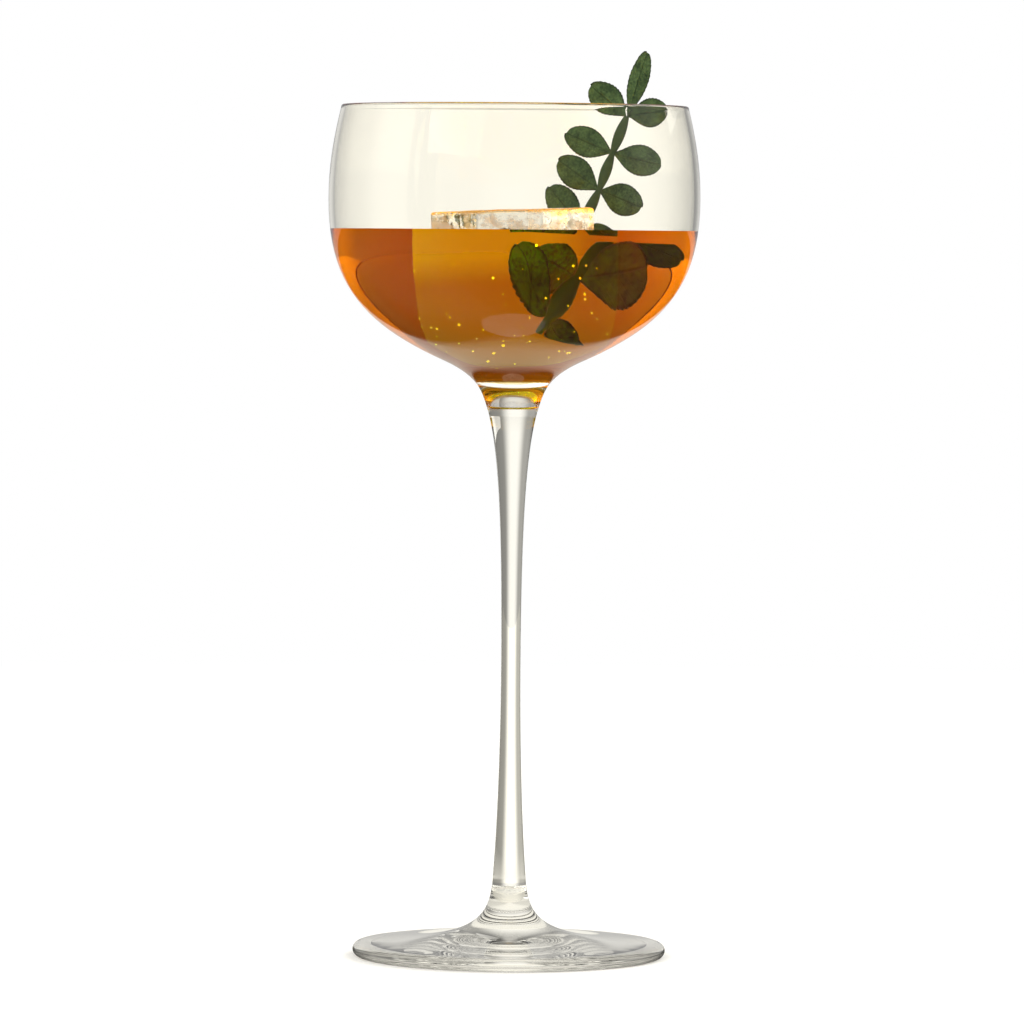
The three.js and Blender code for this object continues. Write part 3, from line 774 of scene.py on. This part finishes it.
faces = [(low[k], low[(k + 1) % RACHIS_SIDES], high[(k + 1) % RACHIS_SIDES], high[k])
         for low, high in zip(rings, rings[1:]) for k in range(RACHIS_SIDES)]
faces += [rings[0][::-1], rings[-1]]
stalk_mesh = bpy.data.meshes.new("stalk")
stalk_mesh.from_pydata(corners, [], faces)
stalk_mesh.shade_smooth()
face_outwards(stalk_mesh)

# Painted light on the green under the drink: a gain in green, with the blue taken out.
PAINTED_LIGHT_IN_DRINK = (0.95, 1.75, 0.2, 1)
STALK_DARK = "#364722"
STALK_LIGHT = "#4e6038"
STALK_FIBRE = 1.2 * MM


def green_with_painted_drink_light(tree, colour):
    """Under the surface painted light lifts the green and takes the blue out of it, for light the drink
    gathers.
    """
    under = add(tree, "ShaderNodeMath", [1.0, above_drink(tree)], operation="SUBTRACT")
    return add(tree, "ShaderNodeMix", {0: under, 6: colour, 7: PAINTED_LIGHT_IN_DRINK}, data_type="RGBA",
               blend_type="MULTIPLY").outputs[2]


# Green stalk: tough and fibrous, dull, a little paler in streaks. Under the drink it carries painted light.
green_stalk, tree = empty_material("green leaf stalk")
where = add(tree, "ShaderNodeTexCoord").outputs["Object"]
fibre = add(tree, "ShaderNodeTexNoise", {"Vector": where, "Scale": 1 / STALK_FIBRE, "Detail": 3.0})
tone = add(tree, "ShaderNodeMix", {
    0: fibre.outputs["Fac"], 6: linear(STALK_DARK), 7: linear(STALK_LIGHT)}, data_type="RGBA")
dull = add(tree, "ShaderNodeBsdfPrincipled", {
    "Base Color": green_with_painted_drink_light(tree, tone.outputs[2]), "Roughness": 0.5})
add(tree, "ShaderNodeOutputMaterial", {"Surface": dull})
stalk_mesh.materials.append(green_stalk)
stalk = bpy.data.objects.new("stalk", stalk_mesh)
scene.collection.objects.link(stalk)
stalk.visible_glossy = False
place(stalk, "sprig", "stalk", "sprig_stalk")

# Leaflets: thirteen small leathery blades, one at the stalk's tip and a pair at each node. Each is
# widest past its middle, toothed along the edge, folded a little at its midrib and bowed back.
LEAFLET_LENGTH = 11 * MM
LEAFLET_WIDTH = 7.6 * MM
LEAFLET_THICKNESS = 0.35 * MM
LEAFLET_STANDOFF = 1.15 * MM
LEAFLET_START = 0.1 * MM
LEAFLET_BOW = 0.7 * MM
LEAFLET_FOLD = 0.12
LEAFLET_TEETH = 13
LEAFLET_RIPPLE = 0.25 * MM
# Each leaflet's name, node, angle from upright, shares of the usual length and width, and lean back.
LEAFLETS = [
    ("leaflet_end", 0, 16.3, 1.39, 0.65, 0),
    ("leaflet_left_1", 0, -50, 0.97, 1, 6),
    ("leaflet_right_1", 0, 81, 0.81, 1, 0),
    ("leaflet_left_2", 1, -66, 1.04, 1, 10),
    ("leaflet_right_2", 1, 102, 1.03, 1, 4),
    ("leaflet_left_3", 2, -56, 1, 1, 2),
    ("leaflet_right_3", 2, 111, 0.93, 1, 8),
    ("leaflet_left_4", 3, -41, 1.02, 1, 12),
    ("leaflet_right_4", 3, 110, 0.78, 0.6, 16),
    ("leaflet_left_5", 4, -59, 0.73, 0.9, 35),
    ("leaflet_right_5", 4, 86, 1.1, 1.2, -30),
    ("leaflet_left_6", 5, -40, 0.94, 1.12, 2),
    ("leaflet_right_6", 5, 140, 0.5, 0.7, 35),
]

# The blade rule: a grid, two wide and one long, is drawn out into a leaf. Each row is one step.
blade, blade_inputs = rule("leaflet blade", {
    "Length": "Float", "Width": "Float", "Tipward": "Float", "Base taper": "Float",
    "Tip rounding": "Float", "Teeth": "Float", "Notch": "Float", "Bow": "Float", "Fold": "Float",
    "Ripple": "Float", "Phase": "Float", "Material": "Material"}, "Blade")
given = add(blade, "NodeGroupInput").outputs
grid = add(blade, "GeometryNodeMeshGrid", {
    "Size X": 2.0, "Size Y": 1.0, "Vertices X": 21, "Vertices Y": 105}).outputs
mapped = add(blade, "GeometryNodeStoreNamedAttribute", {
    "Geometry": grid["Mesh"], "Name": "UVMap", "Value": grid["UV Map"]},
    data_type="FLOAT2", domain="CORNER")
spot = add(blade, "ShaderNodeSeparateXYZ", [add(blade, "GeometryNodeInputPosition")]).outputs
known = {name: given[name] for name in blade_inputs}
known.update({"across": spot["X"], "along": spot["Y"]})
for step, operation, *terms in (
        ("up", "ADD", "along", 0.5),
        ("aside", "ABSOLUTE", "across"),
        ("up to the widest", "POWER", "up", "Tipward"),
        ("half a turn", "MULTIPLY", "up to the widest", math.pi),
        ("swing", "SINE", "half a turn"),
        ("open swing", "MAXIMUM", "swing", 0.0005),
        ("rounding at the tip", "MULTIPLY", "up", "Tip rounding"),
        ("rounding", "SUBTRACT", "Base taper", "rounding at the tip"),
        ("swell", "POWER", "open swing", "rounding"),
        ("widest half", "MULTIPLY", "Width", 0.5),
        ("half width", "MULTIPLY", "widest half", "swell"),
        ("teeth passed", "MULTIPLY", "up", "Teeth"),
        ("way up the tooth", "FRACT", "teeth passed"),
        ("tooth", "SUBTRACT", "way up the tooth", 0.6),
        ("margin", "POWER", "aside", 7.0),
        ("tooth depth", "MULTIPLY", "tooth", "Notch"),
        ("toothed margin", "MULTIPLY", "margin", "tooth depth"),
        ("toothed share", "ADD", "toothed margin", 1.0),
        ("reach", "MULTIPLY", "half width", "toothed share"),
        ("sideways", "MULTIPLY", "across", "reach"),
        ("down", "SUBTRACT", 1.0, "up"),
        ("quarter arch", "MULTIPLY", "up", "down"),
        ("arch", "MULTIPLY", "quarter arch", 4.0),
        ("bowed", "MULTIPLY", "arch", "Bow"),
        ("off the midrib", "MULTIPLY", "aside", "half width"),
        ("folded", "MULTIPLY", "off the midrib", "Fold"),
        ("waves", "MULTIPLY", "up", 11.0),
        ("phased waves", "ADD", "waves", "Phase"),
        ("wave", "SINE", "phased waves"),
        ("out to the edge", "MULTIPLY", "across", "aside"),
        ("edge wave", "MULTIPLY", "wave", "out to the edge"),
        ("uneven", "MULTIPLY", "edge wave", "Ripple"),
        ("bowed and folded", "ADD", "bowed", "folded"),
        ("back", "ADD", "bowed and folded", "uneven"),
        ("height", "MULTIPLY", "up", "Length")):
    known[step] = add(blade, "ShaderNodeMath", [known.get(term, term) for term in terms],
                      operation=operation)
spread = add(blade, "ShaderNodeCombineXYZ", [known["sideways"], known["back"], known["height"]])
moved = add(blade, "GeometryNodeSetPosition", {"Geometry": mapped, "Position": spread})
smooth = add(blade, "GeometryNodeSetShadeSmooth", {"Geometry": moved})
real = add(blade, "GeometryNodeRealizeInstances", {"Geometry": smooth})
dressed = add(blade, "GeometryNodeSetMaterial", {"Geometry": real, "Material": given["Material"]})
add(blade, "NodeGroupOutput", {"Blade": dressed})

# Leathery leaf: deep green, grainy and dull, its edge darker, its midrib and side veins pressed in.
# The grain is coarser than a real leaf's, so that it shows. Under the drink it carries painted light.
LEAF_DARK = "#243a1b"
LEAF_LIGHT = "#5e7842"
LEAF_LINES = "#1b2a14"
LEAF_MOTTLE = 2.5 * MM
LEAF_GRAIN = 0.55 * MM
SIDE_VEINS = 8.0
SIDE_VEIN_LEAN = 5.0
leathery, tree = empty_material("leathery green leaf")
uv = add(tree, "ShaderNodeUVMap", uv_map="UVMap")
flat = add(tree, "ShaderNodeSeparateXYZ", [uv]).outputs
from_rib = add(tree, "ShaderNodeMath", [flat["X"], 0.5], operation="SUBTRACT")
off_rib = add(tree, "ShaderNodeMath", [from_rib], operation="ABSOLUTE")
rib = add(tree, "ShaderNodeMapRange", {
    "Value": off_rib, "From Min": 0.01, "From Max": 0.035, "To Min": 0.5, "To Max": 0.0},
    interpolation_type="SMOOTHSTEP")
veins_up = add(tree, "ShaderNodeMath", [flat["Y"], SIDE_VEINS], operation="MULTIPLY")
lean = add(tree, "ShaderNodeMath", [off_rib, SIDE_VEIN_LEAN], operation="MULTIPLY")
climb = add(tree, "ShaderNodeMath", [veins_up, lean], operation="SUBTRACT")
between = add(tree, "ShaderNodeMath", [climb], operation="FRACT")
from_vein = add(tree, "ShaderNodeMath", [between, 0.5], operation="SUBTRACT")
off_vein = add(tree, "ShaderNodeMath", [from_vein], operation="ABSOLUTE")
vein = add(tree, "ShaderNodeMapRange", {
    "Value": off_vein, "From Min": 0.02, "From Max": 0.12, "To Min": 0.12, "To Max": 0.0},
    interpolation_type="SMOOTHSTEP")
lines = add(tree, "ShaderNodeMath", [rib, vein], operation="MAXIMUM")
edge = add(tree, "ShaderNodeMapRange", {
    "Value": off_rib, "From Min": 0.42, "From Max": 0.49, "To Min": 0.0, "To Max": 0.75},
    interpolation_type="SMOOTHSTEP")
dark = add(tree, "ShaderNodeMath", [edge, lines], operation="MAXIMUM")
where = add(tree, "ShaderNodeTexCoord").outputs["Object"]
mottle = add(tree, "ShaderNodeTexNoise", {"Vector": where, "Scale": 1 / LEAF_MOTTLE, "Detail": 4.0})
grain = add(tree, "ShaderNodeTexNoise", {"Vector": where, "Scale": 1 / LEAF_GRAIN, "Detail": 3.0})
both = add(tree, "ShaderNodeMath", [mottle.outputs["Fac"], grain.outputs["Fac"]], operation="ADD")
patchy = add(tree, "ShaderNodeMapRange", {"Value": both, "From Min": 0.66, "From Max": 1.34})
flesh = add(tree, "ShaderNodeMix", {
    0: patchy, 6: linear(LEAF_DARK), 7: linear(LEAF_LIGHT)}, data_type="RGBA")
tone = add(tree, "ShaderNodeMix", {
    0: dark, 6: flesh.outputs[2], 7: linear(LEAF_LINES)}, data_type="RGBA")
raised = add(tree, "ShaderNodeMath", [grain.outputs["Fac"], 0.35], operation="MULTIPLY")
height = add(tree, "ShaderNodeMath", [raised, lines], operation="SUBTRACT")
pressed = add(tree, "ShaderNodeBump", {"Height": height, "Strength": 0.8, "Distance": 0.35 * MM})
skin = add(tree, "ShaderNodeBsdfPrincipled", {
    "Base Color": green_with_painted_drink_light(tree, tone.outputs[2]), "Roughness": 0.42, "Normal": pressed})
add(tree, "ShaderNodeOutputMaterial", {"Surface": skin})

for name, node, angle, long, wide, back in LEAFLETS:
    leaflet = settle(name, bpy.data.meshes.new(name + " start"), blade, blade_inputs, {
        "Length": LEAFLET_LENGTH * long + LEAFLET_STANDOFF - LEAFLET_START,
        "Width": LEAFLET_WIDTH * wide, "Tipward": 1.3, "Base taper": 0.85, "Tip rounding": 0.42,
        "Teeth": float(LEAFLET_TEETH), "Notch": 0.055, "Bow": LEAFLET_BOW, "Fold": LEAFLET_FOLD,
        "Ripple": LEAFLET_RIPPLE, "Phase": float(angle), "Material": leathery})
    shape = bmesh.new()
    shape.from_mesh(leaflet.data)
    bmesh.ops.solidify(shape, geom=shape.faces[:], thickness=LEAFLET_THICKNESS)
    shape.to_mesh(leaflet.data)
    shape.free()
    face_outwards(leaflet.data)
    turn = Matrix.Rotation(math.radians(angle), 4, "Y") @ Matrix.Rotation(math.radians(-back), 4, "X")
    leaflet.data.transform(Matrix.Translation(nodes[node]) @ turn
                           @ Matrix.Translation((0, 0, LEAFLET_START)))
    leaflet.visible_glossy = False
    place(leaflet, "sprig", "leaf", name)

size = {"cad": [list(corner) for corner in cad_box], "visual": [list(corner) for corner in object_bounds()]}
